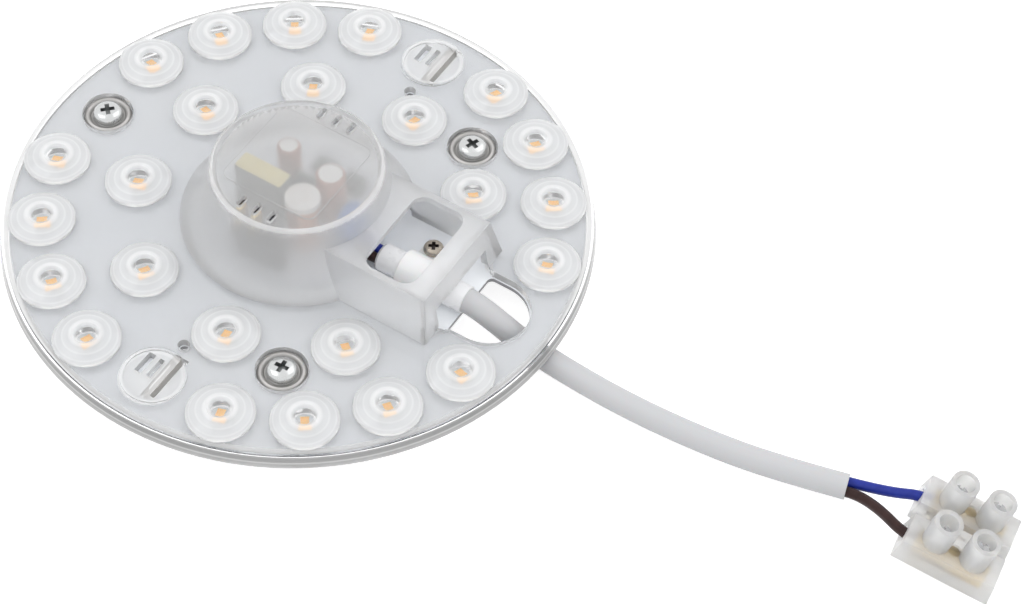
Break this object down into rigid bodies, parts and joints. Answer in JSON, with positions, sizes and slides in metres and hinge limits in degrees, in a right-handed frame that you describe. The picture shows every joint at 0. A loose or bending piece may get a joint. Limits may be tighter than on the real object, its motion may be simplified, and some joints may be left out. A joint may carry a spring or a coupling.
{
  "type": "magnetic led ceiling light module",
  "caption": "Round clear lens plate over a white LED board with a driver dome, terminal box, magnets at the back and a flexible cable to a terminal block.",
  "frame": {"origin": "on the supporting plane, under the centre of the disc, where the magnets stand", "axes": "+Z out of the light side, +X from the centre over the terminal box to the cable cut-out, +Y by the right-hand rule"},
  "size_m": [0.2251, 0.125, 0.0251],
  "materials": {
    "clear_cover": "clear moulded acrylic, glossy, frosted on the driver dome",
    "white_board": "aluminium core board with white solder mask",
    "led": "white package with yellow phosphor",
    "green_board": "glass-fibre board",
    "yellow_case": "pale yellow capacitor case",
    "capacitor_can": "capacitor can with a white top",
    "ferrite": "ferrite with a pale top",
    "copper_coil": "enamelled copper wire",
    "blue_coating": "epoxy coating",
    "black_epoxy": "moulded epoxy",
    "tin": "tinned pins",
    "white_nylon": "white nylon",
    "nickel_screw": "nickel plated",
    "zinc_screw": "bright zinc plated",
    "grey_cup": "pressed sheet steel, dark zinc",
    "pot_steel": "nickel plated steel",
    "magnet": "nickel plated neodymium magnet",
    "white_jacket": "white PVC jacket",
    "white_sleeve": "white shrink sleeve",
    "blue_insulation": "blue PVC insulation",
    "brown_insulation": "brown PVC insulation",
    "natural_plastic": "translucent natural plastic",
    "brass_insert": "brass"
  },
  "bodies": {
    "root": {"blue_core_inner": "blue_insulation", "blue_core_outer": "blue_insulation", "brass_insert_1": "brass_insert", "brass_insert_2": "brass_insert", "bridge_rectifier": "black_epoxy", "brown_core_inner": "brown_insulation", "brown_core_outer": "brown_insulation", "cable_clamp": "white_nylon", "cable_sleeve": "white_sleeve", "choke_coil": "copper_coil", "choke_core": "ferrite", "clamp_screw": "nickel_screw", "driver_board": "green_board", "driver_chip": "black_epoxy", "driver_pins": "tin", "film_capacitor": "yellow_case", "large_capacitor": "capacitor_can", "led_01": "led", "led_02": "led", "led_03": "led", "led_04": "led", "led_05": "led", "led_06": "led", "led_07": "led", "led_08": "led", "led_09": "led", "led_10": "led", "led_11": "led", "led_12": "led", "led_13": "led", "led_14": "led", "led_15": "led", "led_16": "led", "led_17": "led", "led_18": "led", "led_19": "led", "led_20": "led", "led_21": "led", "led_22": "led", "led_23": "led", "led_24": "led", "led_board": "white_board", "lens_cover": "clear_cover", "magnet_disc_1": "magnet", "magnet_disc_2": "magnet", "magnet_disc_3": "magnet", "magnet_pot_1": "pot_steel", "magnet_pot_2": "pot_steel", "magnet_pot_3": "pot_steel", "magnet_screw_1": "zinc_screw", "magnet_screw_2": "zinc_screw", "magnet_screw_3": "zinc_screw", "power_cable": "white_jacket", "screw_cup_1": "grey_cup", "screw_cup_2": "grey_cup", "screw_cup_3": "grey_cup", "small_capacitor": "capacitor_can", "terminal_block": "natural_plastic", "terminal_screws": "zinc_screw", "varistor": "blue_coating"}
  },
  "joints": []
}
